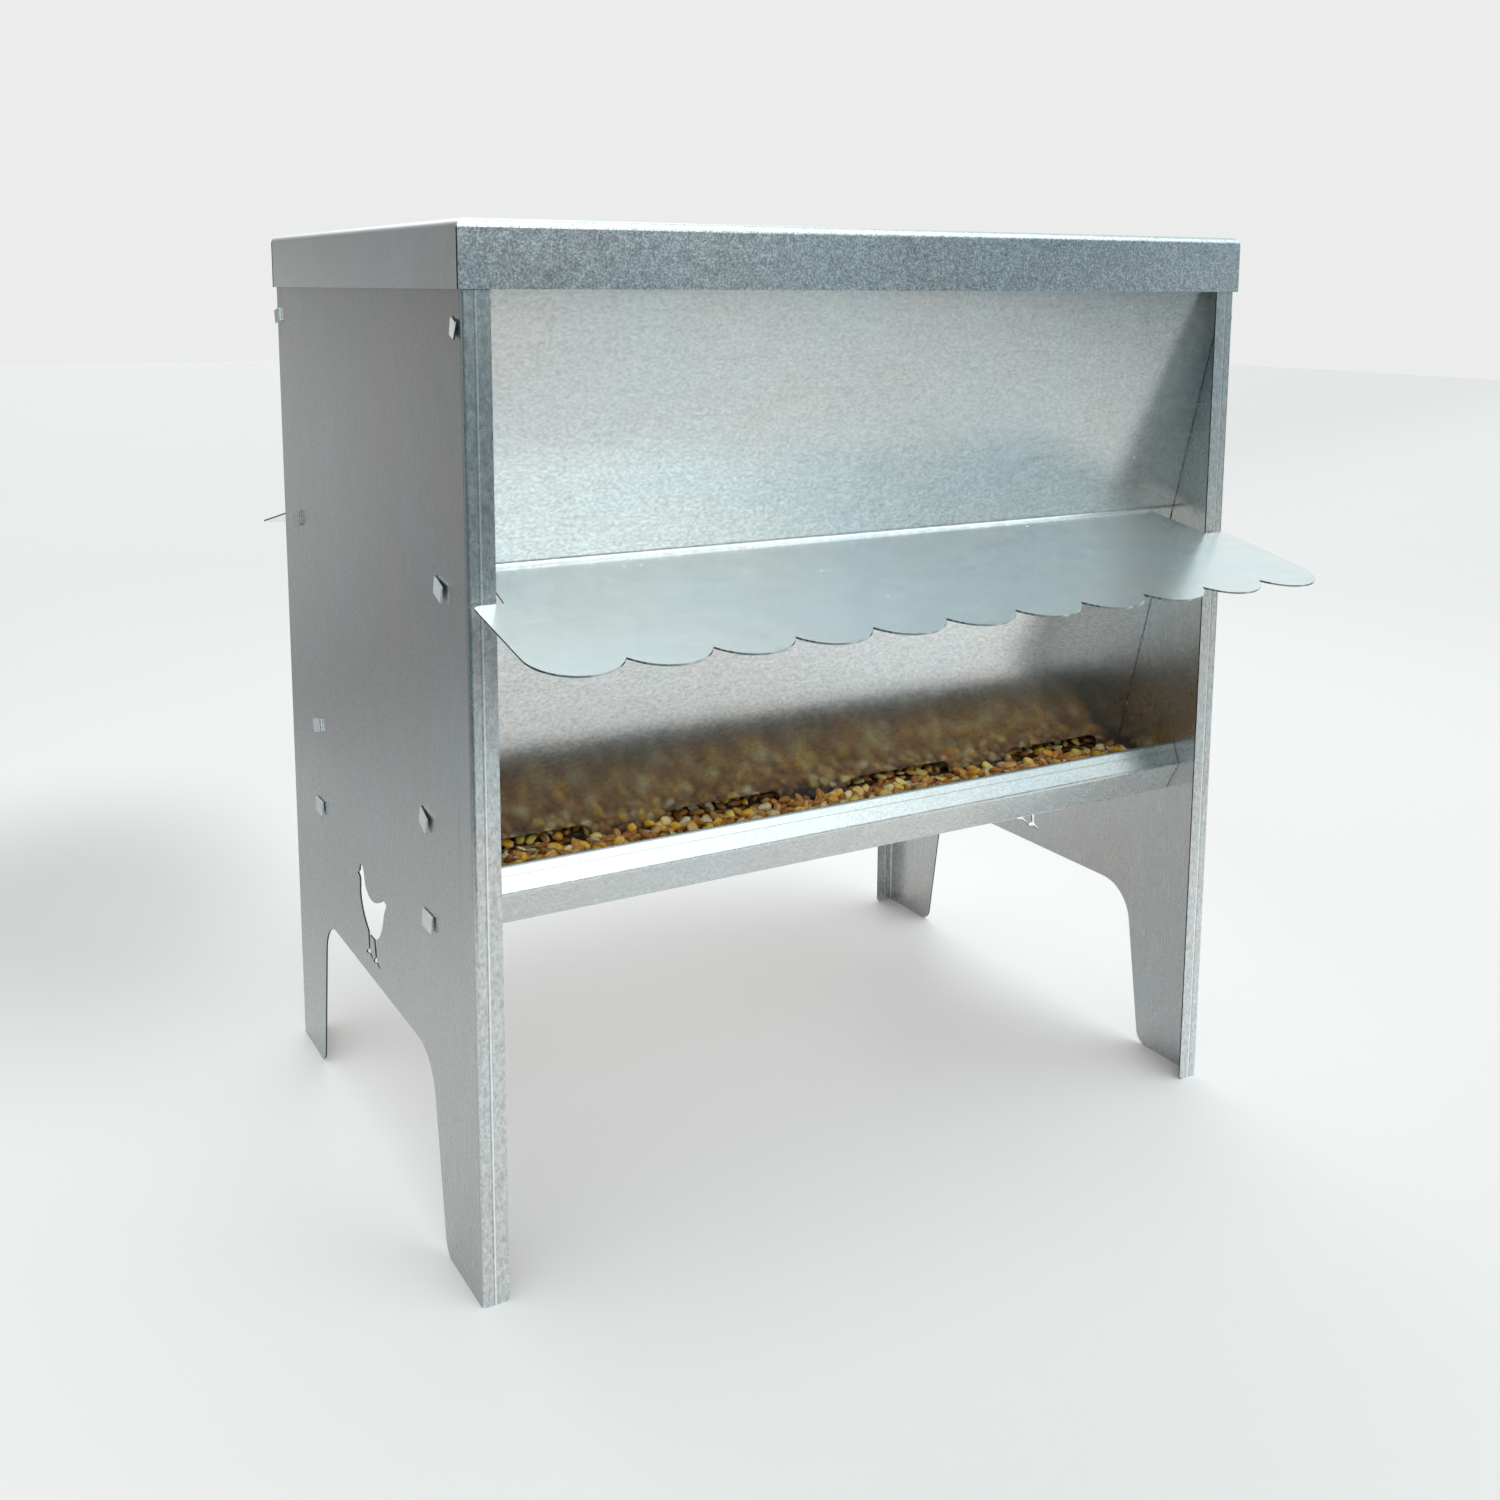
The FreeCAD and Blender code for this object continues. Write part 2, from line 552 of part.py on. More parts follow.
# ---------------------------------------------------------------- trough
def feed_trough(name):
    body = new_body(name)
    t = T
    # directions of the lip and of the front slope, from their measured corners
    lx, lz = SIZES["lip_setback"] - SIZES["rim_setback"], SIZES["lip_height"] - SIZES["rim_height"]
    fx, fz = SIZES["rim_setback"] - SIZES["floor_setback"], SIZES["rim_height"] - SIZES["floor_height"]
    ln, fn = math.hypot(lx, lz), math.hypot(fx, fz)
    ux, uz = lx / ln, lz / ln          # up the lip
    vx, vz = fx / fn, fz / fn          # up the slope
    lnx, lnz = uz, -ux                 # lip normal, into the tray
    fnx, fnz = vz, -vx                 # slope normal, into the tray

    def corner(n1, n2):
        # offset of a corner that keeps one gauge to two faces with normals n1, n2
        det = n1[0] * n2[1] - n1[1] * n2[0]
        return ((n2[1] - n1[1]) / det, (n1[0] - n2[0]) / det)

    kx, kz = corner((lnx, lnz), (fnx, fnz))
    bx, bz = corner((fnx, fnz), (0.0, 1.0))
    lip = (z("lip_setback"), z("lip_height"))
    rim = (z("rim_setback"), z("rim_height"))
    flo = (z("floor_setback"), z("floor_height"))
    hem = z("hem_depth")
    # from the floor corner up the outside, over the hemmed lip and down the inside
    front = [
        flo,
        rim,
        (lip[0] - hem * ux, lip[1] - hem * uz),
        (lip[0] - hem * ux - t * lnx, lip[1] - hem * uz - t * lnz),
        (lip[0] - t * (0.6 * ux + lnx), lip[1] - t * (0.6 * uz + lnz)),
        (lip[0] - t * (0.5 * lnx), lip[1] - t * (0.5 * lnz)),
        (lip[0] + t * (0.5 * lnx), lip[1] + t * (0.5 * lnz)),
        (lip[0] - t * (0.6 * ux - lnx), lip[1] - t * (0.6 * uz - lnz)),
        (rim[0] + t * kx, rim[1] + t * kz),
        (flo[0] + t * bx, flo[1] + t * bz),
    ]
    outer_pts = [(a - HALF_D, b) for a, b in front]
    rear_pts = [(HALF_D - a, b) for a, b in front]
    pts = outer_pts + rear_pts[::-1]
    sk = new_sketch(body, "YZ_Plane", name + "_profile")
    closed_poly(sk, pts)
    b = pad(body, sk, z("wall_half") * 2, name + "_sheet", both=True)

    def long_at(shape, points):
        return pick(shape, lambda e: straight_len(e) > 400 and any(
            abs(abs(e.CenterOfMass.y) - abs((a - HALF_D).v)) < 0.02 and abs(e.CenterOfMass.z - c.v) < 0.02 for a, c in points))

    b = fillet(body, b, long_at(b.Shape, [front[0], front[1]]), z("tray_bend_outside"), name + "_bend_outside")
    b = fillet(body, b, long_at(b.Shape, [front[8], front[9]]), z("tray_bend_inside"), name + "_bend_inside")
    # relief slots along the floor bends
    sk = new_sketch(body, "XY_Plane", name + "_relief_outline")
    for i in range(8):
        xc = z("relief_pitch") * (i - 3.5)
        for sgn in (1, -1):
            ya = (z("floor_setback") - HALF_D) * sgn
            yb = (z("floor_setback") + z("relief_width") - HALF_D) * sgn
            closed_poly(sk, [
                (xc - z("relief_length") / 2, ya), (xc + z("relief_length") / 2, ya),
                (xc + z("relief_length") / 2, yb), (xc - z("relief_length") / 2, yb),
            ], "%s%d" % ("a" if sgn > 0 else "b", i))
    b = pocket(body, sk, z("rim_height") - 8.0, name + "_relief", reverse=True)
    # level tabs at both ends, folded down outside the side panels
    for k, sgn in enumerate((1, -1)):
        for side_sign in (1, -1):
            tag = "%s_tab_%d_%s" % (name, k, "r" if side_sign > 0 else "l")
            sk = new_sketch(body, "XZ_Plane", tag)
            root = (z("wall_half") - 0.6) * side_sign
            i0 = (HALF_W + 0.5) * side_sign
            i1 = (HALF_W + 0.5 + T) * side_sign
            d0 = (HALF_W + 0.9) * side_sign
            d1 = (HALF_W + 0.9 + T) * side_sign
            f0, f1 = z("floor_height"), z("floor_height") + T
            closed_poly(sk, [
                (root, f0), (i0, f0), (d0, f0 - z("tray_tab_drop")), (d1, f0 - z("tray_tab_drop")),
                (i1, f0 + T * 0.6), (i1 - Q(0.45) * side_sign, f1), (root, f1),
            ])
            length = z("tray_tab_far") - z("tray_tab_near")
            centre = (z("tray_tab_far") + z("tray_tab_near")) / 2 - HALF_D
            # the sketch plane's normal is -Y
            sk.AttachmentOffset = FreeCAD.Placement(FreeCAD.Vector(0, 0, -(centre.v * sgn)), FreeCAD.Rotation())
            sk.setExpression("AttachmentOffset.Base.z", (-(centre * sgn)).s)
            doc.recompute()
            pad(body, sk, length, tag + "_pad", both=True)
    return body


# ---------------------------------------------------------------- lid
def lid_cap(name):
    body = new_body(name)
    hw = HALF_W + z("lid_over")
    hd = HALF_D + z("lid_over")
    top, bottom = z("lid_top"), z("lid_top") - z("lid_skirt")
    sk = new_sketch(body, "XY_Plane", name + "_plan")
    sk.AttachmentOffset = FreeCAD.Placement(FreeCAD.Vector(0, 0, bottom.v), FreeCAD.Rotation())
    sk.setExpression("AttachmentOffset.Base.z", bottom.s)
    doc.recompute()
    closed_poly(sk, [(-hw, -hd), (hw, -hd), (hw, hd), (-hw, hd)])
    base = pad(body, sk, z("lid_skirt"), name + "_blank")
    rim = pick(base.Shape, lambda e: abs(e.CenterOfMass.z - top.v) < 0.05 and straight_len(e) > 100)
    base = fillet(body, base, rim, z("lid_round"), name + "_top_round")
    under = ["Face%d" % (i + 1) for i, f in enumerate(base.Shape.Faces) if abs(f.CenterOfMass.z - bottom.v) < 0.01]
    shell = body.newObject("PartDesign::Thickness", name + "_shell")
    shell.Base = (base, under)
    shell.Value = T.v
    shell.setExpression("Value", T.s)
    shell.Reversed = True
    doc.recompute()
    # an open seam beside each corner, where the side skirts meet front and rear
    sk = new_sketch(body, "XY_Plane", name + "_seam_outline")
    sk.AttachmentOffset = FreeCAD.Placement(FreeCAD.Vector(0, 0, bottom.v - 1.0), FreeCAD.Rotation())
    sk.setExpression("AttachmentOffset.Base.z", (bottom - 1.0).s)
    doc.recompute()
    tags = iter("abcd")
    for sx in (1, -1):
        for sy in (1, -1):
            xa, xb = (hw + 1.0) * sx, (hw - T - 0.05) * sx
            ya, yb = (hd - T) * sy, (hd - T - z("seam")) * sy
            closed_poly(sk, [(xa, ya), (xb, ya), (xb, yb), (xa, yb)], next(tags))
    pocket(body, sk, z("lid_skirt") - z("lid_round") + 1.0, name + "_seams", reverse=True)
    return body


# ---------------------------------------------------------------- feed
def grain_bed(name):
    """Loose feed: it fills the trough, and the foot of the hopper, and joins through
    the feed slots."""
    body = new_body(name)
    g = z("fit_gap")
    lo = z("floor_height") + T + g
    lv, hl = z("grain_level"), z("hopper_level")
    back = T / z("wall_cos") + g
    front = [
        (z("floor_setback") + T * 1.1 + g * 1.5, lo),
        (z("rim_setback") + T * 1.75 + g * 1.6, z("rim_height") + T * 0.2),
        (z("rim_setback") + T * 2.6 + g + (lv - z("rim_height")) * 0.5, lv),
        (wall_setback(lv) + back, lv),
        (wall_setback(hl) + back, hl),
    ]
    left = [(a - HALF_D, b) for a, b in front]
    right = [(HALF_D - a, b) for a, b in front]
    sk = new_sketch(body, "YZ_Plane", name + "_profile")
    closed_poly(sk, left + right[::-1])
    pad(body, sk, z("grain_half") * 2, name + "_bed", both=True)
    # the baffles stand in it
    sk = new_sketch(body, "YZ_Plane", name + "_baffle_outline")
    low, high = lo - 3.0, lv + 2.0
    for k, sgn in enumerate((1, -1)):
        closed_poly(sk, [
            ((wall_level(low) - g) * sgn, low), ((wall_level(low) + back) * sgn, low),
            ((wall_level(high) + back) * sgn, high), ((wall_level(high) - g) * sgn, high),
        ], "ab"[k])
    pocket(body, sk, z("body_width") * 2, name + "_baffle_gap", both=True)
    # and it runs on through the feed slots
    sk = new_sketch(body, "XZ_Plane", name + "_bridge_outline")
    hl2, hh, cz = z("slot_half_length"), z("slot_half_height"), z("slot_height")
    for k, cx in enumerate((-z("slot_outer"), -z("slot_inner"), z("slot_inner"), z("slot_outer"))):
        x0, x1 = cx - hl2 + hh, cx + hl2 - hh
        z0, z1 = cz - hh + g, lv - 0.2
        closed_poly(sk, [(x0, z0), (x1, z0), (x1, z1), (x0, z1)], "abcd"[k])
    pad(body, sk, (HALF_D - z("lip_setback") - 10.0) * 2, name + "_bridge", both=True)
    return body


bodies = [
    side_panel("side_panel_left", -1),
    side_panel("side_panel_right", 1),
    canopy_panel("front_canopy_panel", False),
    canopy_panel("rear_canopy_panel", True),
    feed_baffle("front_feed_baffle", False),
    feed_baffle("rear_feed_baffle", True),
    feed_trough("feed_trough"),
    lid_cap("lid"),
    grain_bed("feed_grain"),
]
doc.recompute()

# ---------------------------------------------------------------- checks and export
bad = [o.Name for o in doc.Objects if any(w in ("Invalid", "Error") for w in o.State)]
if bad:
    raise RuntimeError("failed objects: " + ", ".join(bad))
for body in bodies:
    shape = body.Shape
    if shape.isNull() or not shape.isValid() or len(shape.Solids) != 1:
        raise RuntimeError("%s: bad shape, solids %d" % (body.Label, len(shape.Solids)))
os.makedirs("parts", exist_ok=True)
for body in bodies:
    body.Shape.exportStep("parts/%s.step" % body.Label)
    bb = body.Shape.BoundBox
    print("%-20s vol %9.1f  x %7.1f %7.1f  y %7.1f %7.1f  z %7.1f %7.1f" % (
        body.Label, body.Shape.Volume, bb.XMin, bb.XMax, bb.YMin, bb.YMax, bb.ZMin, bb.ZMax))
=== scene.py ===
import math

import bmesh
import bpy
import numpy as np
from mathutils import Matrix, Vector


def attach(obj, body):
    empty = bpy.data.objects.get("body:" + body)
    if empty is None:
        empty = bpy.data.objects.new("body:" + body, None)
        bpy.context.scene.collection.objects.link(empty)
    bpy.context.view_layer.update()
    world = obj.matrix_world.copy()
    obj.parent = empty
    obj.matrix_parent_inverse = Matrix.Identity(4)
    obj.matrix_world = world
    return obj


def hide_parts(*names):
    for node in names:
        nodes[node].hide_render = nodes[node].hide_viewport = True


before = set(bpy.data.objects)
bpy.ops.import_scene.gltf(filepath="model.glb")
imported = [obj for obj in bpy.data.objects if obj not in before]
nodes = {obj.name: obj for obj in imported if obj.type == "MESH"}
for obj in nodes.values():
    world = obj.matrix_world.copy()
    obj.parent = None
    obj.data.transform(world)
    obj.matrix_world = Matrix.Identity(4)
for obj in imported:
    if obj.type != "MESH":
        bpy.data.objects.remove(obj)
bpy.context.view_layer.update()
scene = bpy.context.scene


# ------------------------------------------------------------------ node helpers
class Tree:
    """Short hand for building a node tree."""

    def __init__(self, nt):
        self.nt = nt
        nt.nodes.clear()

    def node(self, kind, **props):
        n = self.nt.nodes.new(kind)
        for k, v in props.items():
            setattr(n, k, v)
        return n

    def put(self, socket, value):
        if isinstance(value, bpy.types.NodeSocket):
            self.nt.links.new(value, socket)
        elif value is not None:
            if isinstance(value, (tuple, list)) and len(value) == 3 and socket.type == "RGBA":
                value = (*value, 1.0)
            socket.default_value = value

    def math(self, op, a, b=None, c=None, clamp=False):
        n = self.node("ShaderNodeMath", operation=op, use_clamp=clamp)
        for i, v in enumerate((a, b, c)):
            if v is not None:
                self.put(n.inputs[i], v)
        return n.outputs[0]

    def vec(self, op, a, b=None, out=0):
        n = self.node("ShaderNodeVectorMath", operation=op)
        self.put(n.inputs[0], a)
        if b is not None:
            self.put(n.inputs[1], b)
        return n.outputs[out]

    def mix(self, fac, a, b, blend="MIX"):
        n = self.node("ShaderNodeMix", data_type="RGBA", blend_type=blend)
        self.put(n.inputs[0], fac)
        self.put(n.inputs[6], a)
        self.put(n.inputs[7], b)
        return n.outputs[2]

    def range(self, v, a, b, c=0.0, d=1.0, smooth=True):
        n = self.node("ShaderNodeMapRange", interpolation_type="SMOOTHSTEP" if smooth else "LINEAR", clamp=True)
        for s, x in zip(("Value", "From Min", "From Max", "To Min", "To Max"), (v, a, b, c, d)):
            self.put(n.inputs[s], x)
        return n.outputs[0]

    def noise(self, vector, scale, detail=2.0, rough=0.5, lac=2.0, distortion=0.0, out="Fac"):
        n = self.node("ShaderNodeTexNoise")
        self.put(n.inputs["Vector"], vector)
        for k, v in (("Scale", scale), ("Detail", detail), ("Roughness", rough), ("Lacunarity", lac), ("Distortion", distortion)):
            n.inputs[k].default_value = v
        return n.outputs[out]

    def voronoi(self, vector, scale, feature="F1", out="Distance", random=1.0):
        n = self.node("ShaderNodeTexVoronoi", feature=feature)
        self.put(n.inputs["Vector"], vector)
        n.inputs["Scale"].default_value = scale
        n.inputs["Randomness"].default_value = random
        return n.outputs[out]

    def scale_vec(self, vector, s):
        return self.vec("MULTIPLY", vector, s)


def new_material(name):
    m = bpy.data.materials.new(name)
    m.use_nodes = True
    return m, Tree(m.node_tree)


# ------------------------------------------------------------------ materials
def galvanised(name, tint, grain, rough=0.27, dull=0.12, relief=1.0, face=0.06, front=0.20, grit=900.0, side=1.0, dark_line=False, bow=False, rim=False):
    """Hot-dip galvanised sheet: a dense pebbled skin under a millimetre across, rolling streaks along the sheet, soft
    clouds of zinc and a dull oxide share of the surface. The pebbles show most on the sheets that face forward or back
    (front), less on the others (face). Those other faces are painted side times as bright: painted shade where side is
    below 1, painted light where it is above 1. grit is the pebbles' frequency. The panels' flanges carry a pressed
    line with a painted highlight and a painted shade line beside it (dark_line), the baffles hollow slightly (bow) and
    the top of the trough's lip carries a painted shade line (rim). grain is the rolling direction, as a stretch of the
    object's own coordinates."""
    m, t = new_material(name)
    tc = t.node("ShaderNodeTexCoord")
    p = tc.outputs["Object"]
    facing = t.node("ShaderNodeSeparateXYZ")
    t.put(facing.inputs[0], tc.outputs["Normal"])
    ahead = t.range(t.math("ABSOLUTE", facing.outputs[1]), 0.30, 0.90)
    stretched = t.scale_vec(p, grain)
    pebble = t.noise(stretched, grit, 2.5, 0.6)
    crisp = t.range(pebble, 0.32, 0.68, smooth=False)
    pebble2 = t.noise(t.vec("ADD", stretched, (7.3, 2.1, 4.4)), 420.0, 2.0, 0.6)
    long = tuple(g if g > 0.9 else 0.09 for g in grain) if min(grain) < 1.0 else (0.09, 1.0, 1.0)
    streaks = t.noise(t.scale_vec(p, long), 380.0, 3.0, 0.55)
    clouds = t.noise(p, 7.0, 3.0, 0.55)
    mottle = t.noise(p, 70.0, 4.0, 0.6)
    scuff = t.range(t.noise(t.vec("ADD", t.scale_vec(p, long), (3.1, 1.7, 5.2)), 34.0, 6.0, 0.7), 0.64, 0.74)

    def part(v, k):
        return t.math("MULTIPLY", t.math("SUBTRACT", v, 0.5), k)

    depth = t.math("MULTIPLY_ADD", ahead, 2.0 * (front - face), 2.0 * face)
    v = t.math("MULTIPLY_ADD", t.math("SUBTRACT", crisp, 0.5), depth, 1.0)
    v = t.math("ADD", v, t.math("MULTIPLY", t.math("SUBTRACT", pebble2, 0.5), t.math("MULTIPLY", depth, 0.9)))
    for src, k in ((streaks, 0.13), (clouds, 0.14), (mottle, 0.09)):
        v = t.math("ADD", v, part(src, k))
    v = t.math("SUBTRACT", v, t.math("MULTIPLY", scuff, 0.04))
    grey = t.node("ShaderNodeCombineColor")
    for i in range(3):
        t.put(grey.inputs[i], v)
    colour = t.mix(1.0, tuple(tint), grey.outputs[0], "MULTIPLY")
    # painted light and shade by facing: faces that don't face forward or back are multiplied by side, darker where
    # side is below 1, lighter where it is above 1
    if side != 1.0:
        colour = t.mix(1.0, colour, t.mix(ahead, (side, side, side), (1.0, 1.0, 1.0)), "MULTIPLY")
    # bluish patches of zinc
    cool = t.mix(1.0, colour, (0.955, 1.0, 1.03), "MULTIPLY")
    colour = t.mix(t.range(t.noise(p, 14.0, 2.0), 0.38, 0.68), colour, cool)
    r = t.math("ADD", part(pebble2, 0.06), rough)
    r = t.math("ADD", r, part(mottle, 0.06))
    r = t.math("ADD", r, t.math("MULTIPLY", scuff, 0.06))
    height = t.math("MULTIPLY", pebble, 0.000020 * relief)
    height = t.math("ADD", height, t.math("MULTIPLY", pebble2, 0.000030 * relief))
    height = t.math("ADD", height, t.math("MULTIPLY", streaks, 0.000016 * relief))
    height = t.math("ADD", height, t.math("MULTIPLY", t.noise(p, 20.0, 2.0), 0.00008))
    if dark_line:
        # the press leaves a fine raised line down the middle of each post flange; its pale colour is a painted
        # highlight, and the dark line beside it is painted shade
        s = t.node("ShaderNodeSeparateXYZ")
        t.put(s.inputs[0], p)
        off = t.math("SUBTRACT", t.math("ABSOLUTE", s.outputs[0]), 0.19905)
        on = t.math("GREATER_THAN", t.math("ABSOLUTE", s.outputs[1]), 0.1440)
        line = t.math("MULTIPLY", t.range(t.math("ABSOLUTE", off), 0.00022, 0.00042, 1.0, 0.0), on)
        groove = t.math("MULTIPLY", t.range(t.math("ABSOLUTE", t.math("SUBTRACT", off, 0.00075)), 0.00014, 0.00034, 1.0, 0.0), on)
        colour = t.mix(t.math("MULTIPLY", line, 0.9), colour, (0.97, 0.98, 0.98))
        colour = t.mix(t.math("MULTIPLY", groove, 0.45), colour, (0.18, 0.20, 0.22))
        height = t.math("ADD", height, t.math("MULTIPLY", line, 0.00006))
    if rim:
        # a thin band along the folded top of the lip is painted dark: painted shade of the sheet's edge
        s = t.node("ShaderNodeSeparateXYZ")
        t.put(s.inputs[0], p)
        lip_shade_mask = t.range(s.outputs[2], 0.18010, 0.18050)
        colour = t.mix(t.math("MULTIPLY", lip_shade_mask, 0.72), colour, (0.13, 0.14, 0.14))
    if bow:
        # the sheet hollows slightly above the feed slots
        s = t.node("ShaderNodeSeparateXYZ")
        t.put(s.inputs[0], p)
        w = t.math("MAXIMUM", t.math("SUBTRACT", s.outputs[2], 0.192), 0.0)
        q = t.math("MINIMUM", w, 0.046)
        bend = t.math("ADD", t.math("DIVIDE", t.math("MULTIPLY", q, q), 0.092), t.math("SUBTRACT", w, q))
        height = t.math("MULTIPLY_ADD", bend, 0.115, height)
    b = t.node("ShaderNodeBump")
    b.inputs["Strength"].default_value = 1.0
    b.inputs["Distance"].default_value = 1.0
    t.put(b.inputs["Height"], height)
    bsdf = t.node("ShaderNodeBsdfPrincipled")
    t.put(bsdf.inputs["Base Color"], colour)
    bsdf.inputs["Metallic"].default_value = 1.0 - dull
    t.put(bsdf.inputs["Roughness"], r)
    t.put(bsdf.inputs["Normal"], b.outputs[0])
    out = t.node("ShaderNodeOutputMaterial")
    t.put(out.inputs[0], bsdf.outputs[0])
    return m


def cut_edge(name):
    """Sheared edge of the sheet: bare steel, rougher, with fine shear marks, painted near black as shade on the thin
    edges.
    """
    m, t = new_material(name)
    p = t.node("ShaderNodeTexCoord").outputs["Object"]
    n = t.noise(p, 900.0, 2.0, 0.6)
    w = t.noise(p, 60.0, 3.0, 0.6)
    # near-black edge colour: painted shade on the thin sheet edges
    colour = t.mix(n, (0.035, 0.038, 0.040), (0.12, 0.12, 0.12))
    colour = t.mix(t.range(w, 0.55, 0.75), colour, (0.09, 0.07, 0.055))
    bsdf = t.node("ShaderNodeBsdfPrincipled")
    t.put(bsdf.inputs["Base Color"], colour)
    bsdf.inputs["Metallic"].default_value = 0.9
    t.put(bsdf.inputs["Roughness"], t.math("MULTIPLY_ADD", n, 0.2, 0.42))
    out = t.node("ShaderNodeOutputMaterial")
    t.put(out.inputs[0], bsdf.outputs[0])
    return m


def grain_material(name):
    """Dry cereal: colour by kernel, with pale broken faces, bran streaks and a soft sheen."""
    m, t = new_material(name)
    p = t.node("ShaderNodeTexCoord").outputs["Object"]
    a = t.node("ShaderNodeVertexColor", layer_name="kernel").outputs["Color"]
    n = t.noise(p, 900.0, 4.0, 0.6)
    big = t.noise(p, 260.0, 2.0, 0.5)
    k = t.math("MULTIPLY_ADD", n, 0.50, 0.80)
    g = t.node("ShaderNodeCombineColor")
    for i in range(3):
        t.put(g.inputs[i], k)
    colour = t.mix(1.0, a, g.outputs[0], "MULTIPLY")
    colour = t.mix(t.range(big, 0.52, 0.72, 0.0, 0.35), colour, t.mix(1.0, colour, (0.62, 0.42, 0.28), "MULTIPLY"))
    b = t.node("ShaderNodeBump")
    b.inputs["Strength"].default_value = 0.8
    b.inputs["Distance"].default_value = 1.0
    t.put(b.inputs["Height"], t.math("ADD", t.math("MULTIPLY", n, 0.00022), t.math("MULTIPLY", big, 0.0005)))
    bsdf = t.node("ShaderNodeBsdfPrincipled")
    t.put(bsdf.inputs["Base Color"], colour)
    t.put(bsdf.inputs["Roughness"], t.math("MULTIPLY_ADD", n, 0.25, 0.38))
    bsdf.inputs["Specular IOR Level"].default_value = 0.5
    t.put(bsdf.inputs["Normal"], b.outputs[0])
    out = t.node("ShaderNodeOutputMaterial")
    t.put(out.inputs[0], bsdf.outputs[0])
    return m


def bed_material(name):
    """The feed below the loose top layer, in the gaps between kernels: cell-like, with pale dusty bits, painted in
    deep browns as shade and darker still at the cell edges.
    """
    m, t = new_material(name)
    p = t.node("ShaderNodeTexCoord").outputs["Object"]
    cells = t.node("ShaderNodeTexVoronoi")
    t.put(cells.inputs["Vector"], p)
    cells.inputs["Scale"].default_value = 190.0
    s = t.node("ShaderNodeSeparateColor")
    t.put(s.inputs[0], cells.outputs["Color"])
    colour = t.mix(t.range(s.outputs[0], 0.3, 0.7, smooth=False), (0.20, 0.085, 0.025), (0.42, 0.25, 0.07))
    colour = t.mix(t.range(s.outputs[1], 0.80, 0.90), colour, (0.55, 0.46, 0.30))
    # painted shade between kernels: the colour darkens towards each cell's edge
    dark = t.range(cells.outputs["Distance"], 0.25, 0.75, 1.0, 0.25)
    g = t.node("ShaderNodeCombineColor")
    for i in range(3):
        t.put(g.inputs[i], dark)
    colour = t.mix(1.0, colour, g.outputs[0], "MULTIPLY")
    b = t.node("ShaderNodeBump")
    b.inputs["Strength"].default_value = 1.0
    b.inputs["Distance"].default_value = 1.0
    t.put(b.inputs["Height"], t.math("MULTIPLY", cells.outputs["Distance"], -0.003))
    bsdf = t.node("ShaderNodeBsdfPrincipled")
    t.put(bsdf.inputs["Base Color"], colour)
    bsdf.inputs["Roughness"].default_value = 0.6
    t.put(bsdf.inputs["Normal"], b.outputs[0])
    out = t.node("ShaderNodeOutputMaterial")
    t.put(out.inputs[0], bsdf.outputs[0])
    return m


ALONG_X, ALONG_Z = (0.60, 1.0, 1.0), (1.0, 1.0, 0.55)
# painted shade: the side panels' faces are painted darker (side 0.84), and the left panel is a copy of the same sheet
# painted darker still (side 0.67)
panel_mat = galvanised("galvanised_panel_sheet", (0.640, 0.645, 0.635), ALONG_Z, rough=0.27, dull=0.09, relief=0.5, face=0.035, front=0.20, side=0.84, dark_line=True)
panel_left_shaded_mat = galvanised("galvanised_panel_sheet_left_shaded", (0.640, 0.645, 0.635), ALONG_Z, rough=0.27, dull=0.09, relief=0.5, face=0.035, front=0.20, side=0.67, dark_line=True)
# painted light: faces of the canopy sheets that don't face forward or back are painted lighter (side 1.27)
canopy_mat = galvanised("galvanised_canopy_sheet", (0.675, 0.680, 0.667), ALONG_X, rough=0.25, dull=0.18, relief=0.4, face=0.03, front=0.15, side=1.27)
baffle_mat = galvanised("galvanised_baffle_sheet", (0.74, 0.74, 0.72), ALONG_X, rough=0.19, dull=0.08, relief=0.25, front=0.17, bow=True)
trough_mat = galvanised("galvanised_trough_sheet", (0.75, 0.755, 0.74), ALONG_X, rough=0.27, dull=0.18, relief=0.5, face=0.06, front=0.10, rim=True)
# painted shade: faces of the lid that don't face forward or back are painted darker (side 0.90)
lid_mat = galvanised("galvanised_lid_sheet", (0.66, 0.675, 0.68), (1.0, 1.0, 1.0), rough=0.25, dull=0.12, relief=0.7, face=0.06, front=0.42, grit=1150.0, side=0.90)
edge_mat = cut_edge("sheared_sheet_edge")
kernel_mat = grain_material("mixed_grain_kernels")
feed_mat = bed_material("mixed_grain_bed")


# ------------------------------------------------------------------ CAD sheet pieces
def dress(node, main, limit=0.0026):
    """Gives a sheet piece its zinc face and its sheared edges: a face with little metal
    behind it is sheet, one with much is an edge."""
    from mathutils.bvhtree import BVHTree

    o = nodes[node]
    me = o.data
    me.materials.clear()
    me.materials.append(main)
    me.materials.append(edge_mat)
    tree = BVHTree.FromPolygons([v.co.copy() for v in me.vertices], [tuple(p.vertices) for p in me.polygons])
    for p in me.polygons:
        n = p.normal
        if n.length < 0.5:
            p.material_index = 0
            continue
        hit = tree.ray_cast(p.center - n * 2e-5, -n, 1.0)
        edge = hit[0] is None or hit[3] > limit
        if abs(p.center.x) > 0.2052 and abs(n.x) < 0.5 and node != "lid" and abs(p.center.y) < 0.140:
            edge = False
        p.material_index = 1 if edge else 0


dress("side_panel_left", panel_left_shaded_mat)
dress("side_panel_right", panel_mat)
dress("front_canopy_panel", canopy_mat)
dress("rear_canopy_panel", canopy_mat)
dress("front_feed_baffle", baffle_mat)
dress("rear_feed_baffle", baffle_mat)
dress("feed_trough", trough_mat)
dress("lid", lid_mat)


